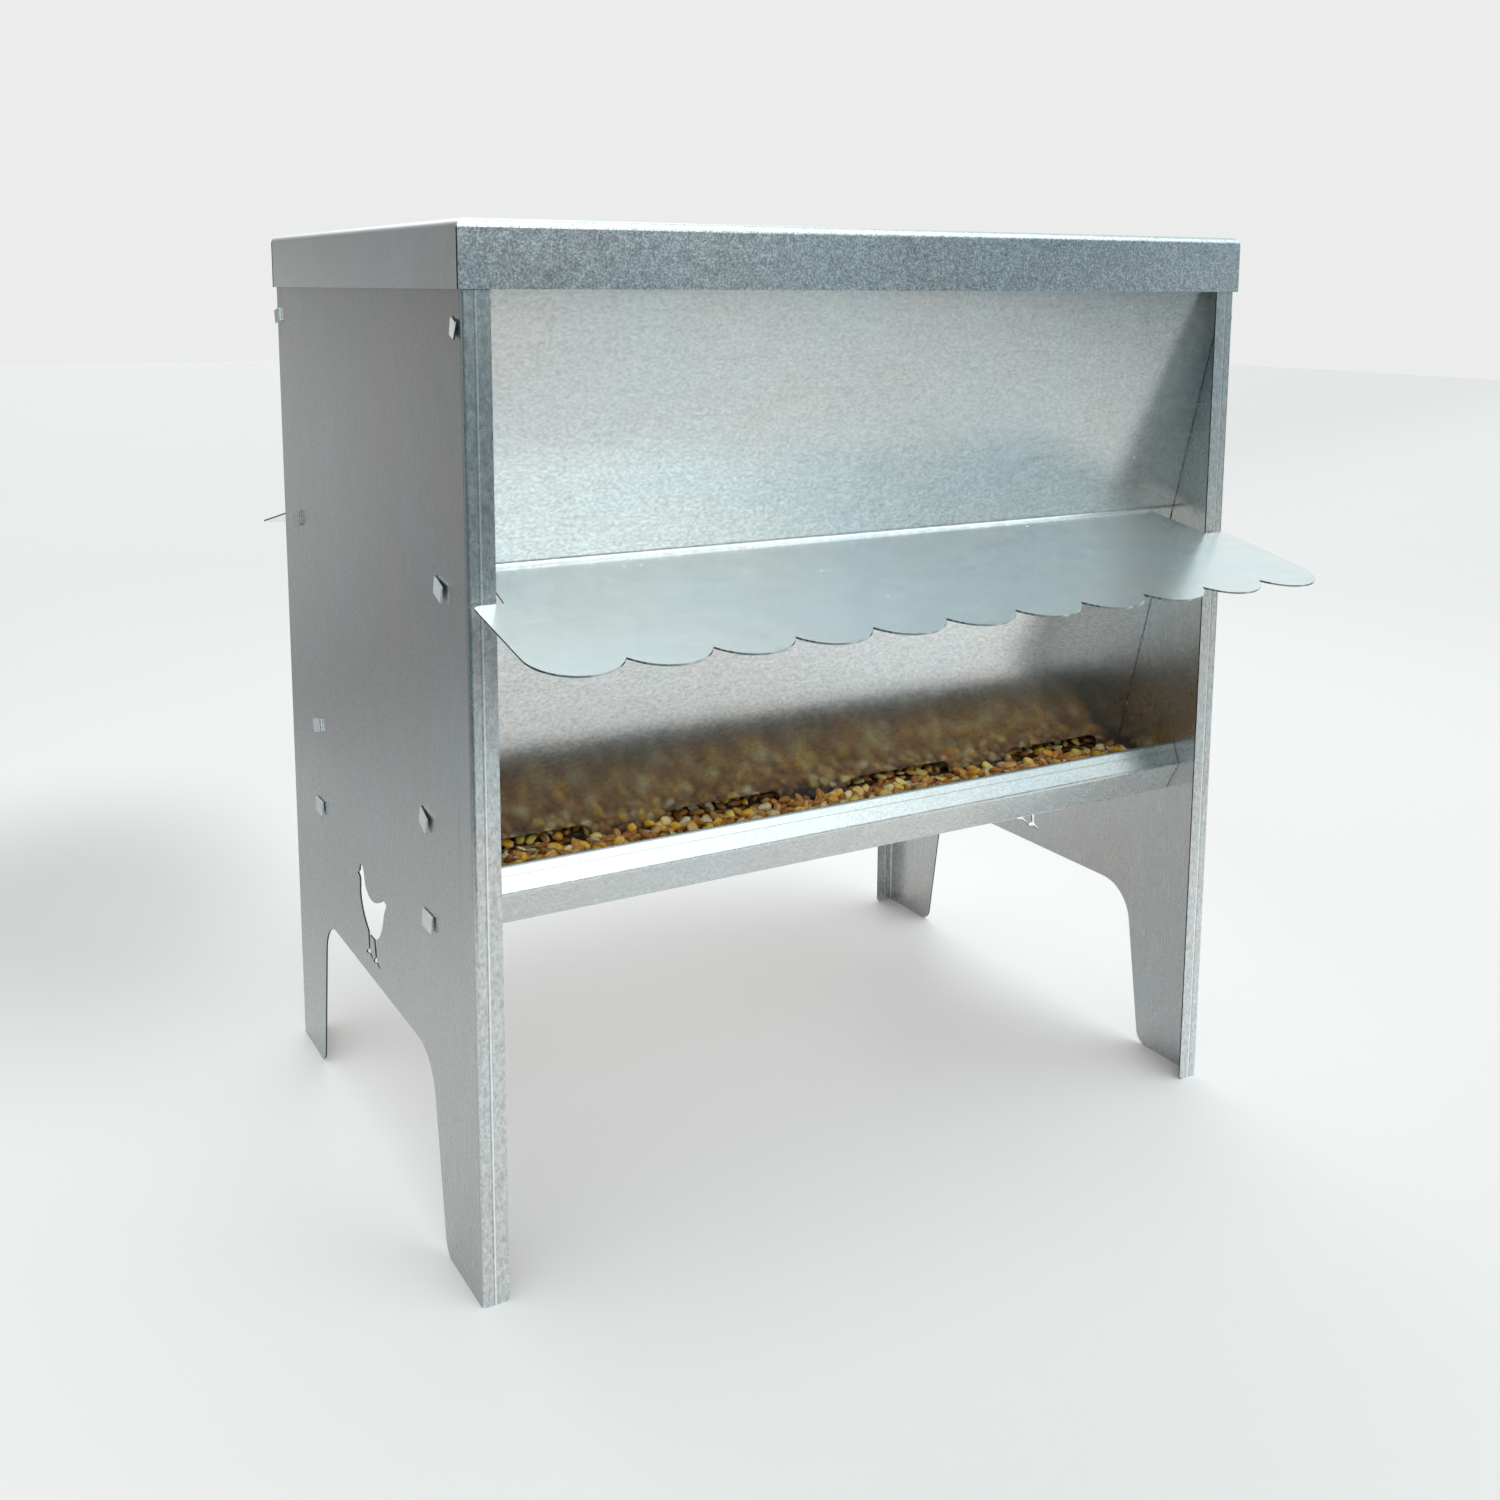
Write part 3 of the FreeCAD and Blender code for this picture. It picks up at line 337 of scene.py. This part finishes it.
# ------------------------------------------------------------------ feed
WALL_SLOPE = 0.2536
HALF_D = 0.145


def wall_y(z):
    """Front surface of the front hopper wall, metres."""
    return -HALF_D + 0.035 + (0.3085 - z) * WALL_SLOPE


def ico(level):
    bm = bmesh.new()
    bmesh.ops.create_icosphere(bm, subdivisions=level, radius=1.0)
    v = np.array([x.co[:] for x in bm.verts])
    f = np.array([[x.index for x in g.verts] for g in bm.faces])
    bm.free()
    return v, f


SPHERE = ico(2)


def wheat(rng):
    v = SPHERE[0].copy()
    x, y, z = v.T
    taper = 1.0 - 0.18 * x * x - 0.10 * x
    groove = np.exp(-((y / 0.22) ** 2)) * np.clip(z, 0, 1) * (1 - x * x)
    v = np.stack([x, y * taper, z * taper - 0.38 * groove], 1)
    size = rng.uniform(0.86, 1.16)
    v *= np.array([3.75, 1.80, 1.62]) * size * rng.uniform(0.93, 1.07, 3)
    shade = rng.choice(4, p=[0.40, 0.28, 0.20, 0.12])
    base = np.array([(0.52, 0.215, 0.045), (0.64, 0.31, 0.075), (0.40, 0.145, 0.032), (0.76, 0.44, 0.14)][shade])
    c = np.tile(base * rng.uniform(0.85, 1.15), (len(v), 1))
    # painted shade in the crease: the colour is darkened along the groove
    c *= (1.0 - 0.45 * np.clip(groove, 0, 1))[:, None]
    return v, c


def cracked(rng, pale=0.35):
    """A broken piece of maize: a rounded yellow back with flat, floury broken faces."""
    v = SPHERE[0].copy()
    hull = np.ones(len(v))
    flat = np.zeros(len(v))
    for _ in range(rng.integers(2, 5)):
        n = rng.normal(size=3)
        n /= np.linalg.norm(n)
        d = rng.uniform(0.30, 0.70)
        dot = v @ n
        cut = dot > d
        v[cut] -= np.outer(dot[cut] - d, n)
        flat[cut] = 1.0
    v += rng.normal(scale=0.035, size=v.shape)
    v *= np.array([3.9, 3.1, 2.3]) * rng.uniform(0.72, 1.10)
    back = np.array([(0.90, 0.47, 0.020), (0.82, 0.36, 0.020), (0.93, 0.62, 0.10)][rng.choice(3, p=[0.5, 0.25, 0.25])])
    floury = np.array([0.93, 0.78, 0.42]) * rng.uniform(0.85, 1.05)
    mixv = flat * (1.0 if rng.random() < pale + 0.35 else 0.35)
    c = back[None] * (1 - mixv[:, None]) + floury[None] * mixv[:, None]
    return v, c * hull[:, None]


def flake(rng):
    """A pale flake of maize or oat."""
    v = SPHERE[0].copy()
    ang = np.arctan2(v[:, 1], v[:, 0])
    k = 1 + 0.16 * np.sin(ang * 2 + rng.uniform(0, 6)) + 0.12 * np.sin(ang * 3 + rng.uniform(0, 6)) + 0.07 * np.sin(ang * 5 + rng.uniform(0, 6))
    v[:, :2] *= k[:, None]
    v[:, 2] += 0.35 * (v[:, 0] ** 2 - 0.3) * rng.uniform(-1, 1)
    v *= np.array([3.9, 3.1, 1.00]) * rng.uniform(0.75, 1.12)
    c = np.tile(np.array([0.92, 0.80, 0.52]) * rng.uniform(0.82, 1.06), (len(v), 1))
    c *= (1 - 0.25 * rng.random((len(v), 1)) * np.array([[0.3, 0.6, 1.4]]))
    return v, np.clip(c, 0, 1)


def turn(rng, tilt):
    a, b, c = rng.uniform(0, 2 * math.pi), rng.normal(scale=tilt), rng.normal(scale=tilt)
    return np.array((Matrix.Rotation(a, 3, "Z") @ Matrix.Rotation(b, 3, "X") @ Matrix.Rotation(c, 3, "Y")))


def heap(name, places, seed):
    """One mesh of loose kernels at the given places: x, y, z, tilt."""
    rng = np.random.default_rng(seed)
    vs, fs, cs = [], [], []
    at = 0
    for x, y, z, tilt in places:
        u = rng.random()
        v, c = wheat(rng) if u < 0.60 else cracked(rng) if u < 0.90 else flake(rng)
        v = (v @ turn(rng, tilt).T) * 0.001 + np.array([x, y, z])
        vs.append(v)
        cs.append(c)
        fs.append(SPHERE[1] + at)
        at += len(v)
    v, f, c = np.concatenate(vs), np.concatenate(fs), np.concatenate(cs)
    me = bpy.data.meshes.new(name)
    me.from_pydata(v.tolist(), [], f.tolist())
    layer = me.color_attributes.new("kernel", "FLOAT_COLOR", "POINT")
    layer.data.foreach_set("color", np.concatenate([np.clip(c, 0, 1), np.ones((len(c), 1))], 1).astype(np.float32).ravel())
    me.polygons.foreach_set("use_smooth", np.ones(len(f), bool))
    me.materials.append(kernel_mat)
    me.update()
    o = bpy.data.objects.new(name, me)
    scene.collection.objects.link(o)
    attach(o, "feeder")
    return o


def relief(x, y, seed):
    """A slow, uneven surface of a few millimetres, from -1 to 1."""
    return (
        0.5 * math.sin(x * 31 + seed) * math.cos(y * 47 + 2 * seed)
        + 0.3 * math.sin(x * 83 + 3 * seed + y * 60)
        + 0.2 * math.sin(x * 170 - y * 110 + seed)
    )


def spread(rng, count, x0, x1, ya, yb, apart):
    """Random places with a least distance between them."""
    cell = {}
    out = []
    tries = 0
    while len(out) < count and tries < count * 30:
        tries += 1
        x, y = rng.uniform(x0, x1), rng.uniform(ya, yb)
        i, j = int(x // apart), int(y // apart)
        if all((x - q[0]) ** 2 + (y - q[1]) ** 2 >= apart * apart for a in (-1, 0, 1) for b in (-1, 0, 1) for q in cell.get((i + a, j + b), ())):
            cell.setdefault((i, j), []).append((x, y))
            out.append((x, y))
    return out


def trough_places(seed, side):
    rng = np.random.default_rng(seed)
    places = []
    for layer, (count, z0, apart) in enumerate(((820, 0.1684, 0.0041), (620, 0.1702, 0.0046), (260, 0.1723, 0.0060))):
        for x, y in spread(rng, count, -0.1985, 0.1985, -0.1180, -0.0775, apart):
            d = relief(x, y * side, seed)
            # it runs out of the hopper, so it stands highest against the wall between slots
            heaped = 0.0028 * math.exp(-((x / 0.030) ** 2)) * max(0.0, (y + 0.112) / 0.034)
            z = z0 + 0.0009 * d + heaped
            if layer == 2 and d < -0.25:
                continue
            # stay clear of the lip and of the wall
            lip = -HALF_D + 0.0229 + (z + 0.0018 - 0.170) * 0.5 + (0.0050 if layer < 2 else 0.0043)
            if y < lip or y > wall_y(z) - 0.0034:
                continue
            places.append((x, y * side, z, 0.34 if layer < 2 else 0.5))
    # feed lying in the slots
    for cx in (-0.155, -0.052, 0.052, 0.155):
        for x, y in spread(rng, 60, cx - 0.027, cx + 0.027, -0.0795, -0.0685, 0.0036):
            places.append((x, y * side, 0.1672 + 0.0008 * relief(x, y, 5.0 + seed), 0.3))
    return places


heap("feed_kernels_front", trough_places(11, 1), 101)
heap("feed_kernels_rear", trough_places(12, -1), 102)


def hopper_places(seed):
    rng = np.random.default_rng(seed)
    out = []
    for x, y in spread(rng, 1900, -0.1985, 0.1985, -0.0690, 0.0690, 0.0049):
        out.append((x, y, 0.1710 + 0.0009 * relief(x, y, 3.0), 0.36))
    return out


heap("feed_kernels_hopper", hopper_places(13), 103)


def feed_bed():
    """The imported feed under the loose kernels, in the space of its CAD solid."""
    src = nodes["feed_grain"].data
    bm = bmesh.new()
    bm.from_mesh(src)
    bmesh.ops.remove_doubles(bm, verts=bm.verts, dist=1e-6)
    for v in bm.verts:
        if v.co.z > 0.1712:
            v.co.z -= 0.0040 if v.co.z > 0.1728 else 0.0036
    bmesh.ops.recalc_face_normals(bm, faces=bm.faces)
    me = bpy.data.meshes.new("feed_bed")
    bm.to_mesh(me)
    bm.free()
    me.materials.clear()
    me.materials.append(feed_mat)
    o = bpy.data.objects.new("feed_bed", me)
    scene.collection.objects.link(o)
    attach(o, "feeder")
    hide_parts("feed_grain")
    return o


feed_bed()


# ------------------------------------------------------------------ studio
def floor():
    outline = [
        (-0.22, -0.62), (0.02, -1.01), (0.62, -1.02), (0.94, -0.72), (1.18, -0.25), (2.6, 0.6), (6.5, 2.2),
        (6.5, 8.5), (-0.10, 8.5), (-0.308, 1.00), (-0.348, 0.42), (-0.70, 0.10), (-0.75, -0.35),
    ]
    bm = bmesh.new()
    bm.faces.new([bm.verts.new((x, y, 0.0)) for x, y in outline])
    me = bpy.data.meshes.new("studio_floor")
    bm.to_mesh(me)
    bm.free()
    if me.polygons[0].normal.z < 0:
        me.flip_normals()
    m, t = new_material("studio_floor_paint")
    p = t.node("ShaderNodeTexCoord").outputs["Object"]
    n = t.noise(p, 3.0, 3.0, 0.5)
    bsdf = t.node("ShaderNodeBsdfPrincipled")
    # painted light pool: the floor is painted paler where the object stands, lifting the shade under it
    far = t.vec("LENGTH", t.scale_vec(t.vec("ADD", p, (-0.02, -0.14, 0.0)), (1.0, 0.9, 1.0)), out=1)
    painted_light_pool = t.range(far, 0.10, 0.50, 1.0, 0.0)
    s = t.node("ShaderNodeSeparateXYZ")
    t.put(s.inputs[0], p)
    # painted shade: the floor is painted darker towards the back and far from the object
    back = t.range(t.math("MULTIPLY_ADD", s.outputs[0], -0.45, s.outputs[1]), 0.30, 1.30, 1.0, 0.91)
    away = t.range(t.vec("LENGTH", t.vec("ADD", p, (-0.10, -0.10, 0.0)), out=1), 0.70, 1.70, 1.0, 0.93)
    # painted shadow: a darker patch on the floor left of and behind the object
    left = t.vec("LENGTH", t.scale_vec(t.vec("ADD", p, (0.29, -0.40, 0.0)), (1.25, 0.80, 1.0)), out=1)
    left = t.range(left, 0.04, 0.30, 0.70, 1.0)
    # painted shade: a darker patch on the floor ahead and to the right, darkening what the sheets reflect
    right = t.range(t.vec("LENGTH", t.vec("ADD", p, (-0.68, 0.62, 0.0)), out=1), 0.10, 0.42, 0.78, 1.0)
    k = t.math("MULTIPLY", t.math("MULTIPLY", back, away), t.math("MULTIPLY", left, right))
    shade = t.node("ShaderNodeCombineColor")
    for i in range(3):
        t.put(shade.inputs[i], k)
    plain = t.mix(n, (0.676, 0.612, 0.597), (0.690, 0.624, 0.609))
    paint = t.mix(1.0, t.mix(painted_light_pool, plain, (0.890, 0.815, 0.800)), shade.outputs[0], "MULTIPLY")
    t.put(bsdf.inputs["Base Color"], paint)
    bsdf.inputs["Roughness"].default_value = 0.5
    bsdf.inputs["Specular IOR Level"].default_value = 0.15
    out = t.node("ShaderNodeOutputMaterial")
    t.put(out.inputs[0], bsdf.outputs[0])
    me.materials.append(m)
    o = bpy.data.objects.new("studio_floor", me)
    scene.collection.objects.link(o)
    return o


floor()

# directions: azimuth in degrees from +Y towards +X, elevation; inner and outer half angles; colour
SOFT_ROOM = [
    # wide pale wall behind, lit from above
    (14.0, 10.0, 22.0, 58.0, (0.80, 0.83, 0.83)),
    (12.0, 40.0, 14.0, 32.0, (1.9, 2.0, 2.0)),
    # greyer towards the left rear, and below the horizon there
    (-38.0, -4.0, 19.0, 44.0, (0.270, 0.266, 0.262)),
    (-24.0, -21.0, 4.0, 10.0, (0.66, 0.70, 0.72)),
    # dim room in front
    (180.0, -12.0, 34.0, 64.0, (0.060, 0.085, 0.100)),
    (228.0, -20.0, 30.0, 52.0, (0.040, 0.090, 0.120)),
    (125.0, -12.0, 16.0, 40.0, (0.070, 0.130, 0.160)),
    (134.0, -11.0, 3.0, 8.5, (0.92, 0.93, 0.90)),
    (150.0, 1.0, 1.5, 6.0, (0.46, 0.53, 0.55)),
    (132.0, 0.5, 1.5, 5.0, (0.62, 0.72, 0.77)),
    # pale right-hand side
    (-8.0, -6.0, 4.0, 10.0, (0.84, 0.86, 0.86)),
    (82.0, 5.0, 12.0, 34.0, (0.50, 0.58, 0.61)),
    # broad soft light overhead, leaning forward
    (163.0, 63.0, 29.0, 47.0, (2.05, 2.35, 2.40)),
]
# windows: azimuths and elevations of their edges, with the width of each soft edge; colour
WINDOWS = [
    (148.0, 6.0, 208.0, 18.0, 8.8, 4.0, 58.0, 14.0, (1.95, 2.22, 2.26)),
    (96.0, 12.0, 128.0, 8.0, 2.0, 5.0, 26.0, 16.0, (0.40, 0.56, 0.66)),
    (134.0, 5.0, 144.5, 5.0, 6.5, 4.0, 17.0, 8.0, (0.10, 0.18, 0.21)),
]


def room_light():
    w = bpy.data.worlds.new("soft_room")
    scene.world = w
    w.use_nodes = True
    t = Tree(w.node_tree)
    d = t.vec("NORMALIZE", t.node("ShaderNodeTexCoord").outputs["Generated"])
    s = t.node("ShaderNodeSeparateXYZ")
    t.put(s.inputs[0], d)
    up = t.range(s.outputs[2], -0.10, 0.85)
    colour = t.mix(up, (0.46, 0.52, 0.53), (0.86, 1.00, 1.01))
    for az, el, inner, outer, rgb in SOFT_ROOM:
        a, e = math.radians(az), math.radians(el)
        to = (math.sin(a) * math.cos(e), math.cos(a) * math.cos(e), math.sin(e))
        dot = t.vec("DOT_PRODUCT", d, to, out=1)
        mask = t.range(dot, math.cos(math.radians(outer)), math.cos(math.radians(inner)))
        colour = t.mix(mask, colour, rgb)
    # azimuth 0 to 360 and elevation, in degrees
    az = t.math("DEGREES", t.math("ARCTAN2", t.math("MULTIPLY", s.outputs[0], -1.0), t.math("MULTIPLY", s.outputs[1], -1.0)))
    az = t.math("ADD", az, 180.0)
    el = t.math("DEGREES", t.math("ARCSINE", s.outputs[2]))
    for a0, da0, a1, da1, e0, de0, e1, de1, rgb in WINDOWS:
        m = t.range(az, a0 - da0 / 2, a0 + da0 / 2)
        m = t.math("MULTIPLY", m, t.range(az, a1 - da1 / 2, a1 + da1 / 2, 1.0, 0.0))
        m = t.math("MULTIPLY", m, t.range(el, e0 - de0 / 2, e0 + de0 / 2))
        m = t.math("MULTIPLY", m, t.range(el, e1 - de1 / 2, e1 + de1 / 2, 1.0, 0.0))
        colour = t.mix(m, colour, rgb)
    # what the camera itself sees past the floor is a plain pale backdrop
    seen = t.node("ShaderNodeLightPath").outputs["Is Camera Ray"]
    colour = t.mix(seen, colour, (0.835, 0.845, 0.835))
    bg = t.node("ShaderNodeBackground")
    t.put(bg.inputs[0], colour)
    out = t.node("ShaderNodeOutputWorld")
    t.put(out.inputs[0], bg.outputs[0])


room_light()
scene.view_settings.view_transform = "Standard"


# ------------------------------------------------------------------ camera
def camera():
    yaw, pitch, roll = math.radians(29.90), math.radians(8.53), math.radians(0.28)
    fwd = Vector((math.sin(yaw) * math.cos(pitch), math.cos(yaw) * math.cos(pitch), -math.sin(pitch)))
    right = Vector((math.cos(yaw), -math.sin(yaw), 0.0))
    up = right.cross(fwd)
    r2 = math.cos(roll) * right + math.sin(roll) * up
    u2 = -math.sin(roll) * right + math.cos(roll) * up
    data = bpy.data.cameras.new("view")
    data.sensor_width = 36.0
    data.lens = 1587.0 / 1500.0 * 36.0
    data.shift_y = -0.15
    data.clip_start, data.clip_end = 0.01, 50.0
    o = bpy.data.objects.new("view", data)
    scene.collection.objects.link(o)
    m = Matrix((r2, u2, -fwd)).transposed().to_4x4()
    m.translation = Vector((-0.4130, -0.7282, 0.4245))
    o.matrix_world = m
    scene.camera = o


camera()

bpy.context.view_layer.update()
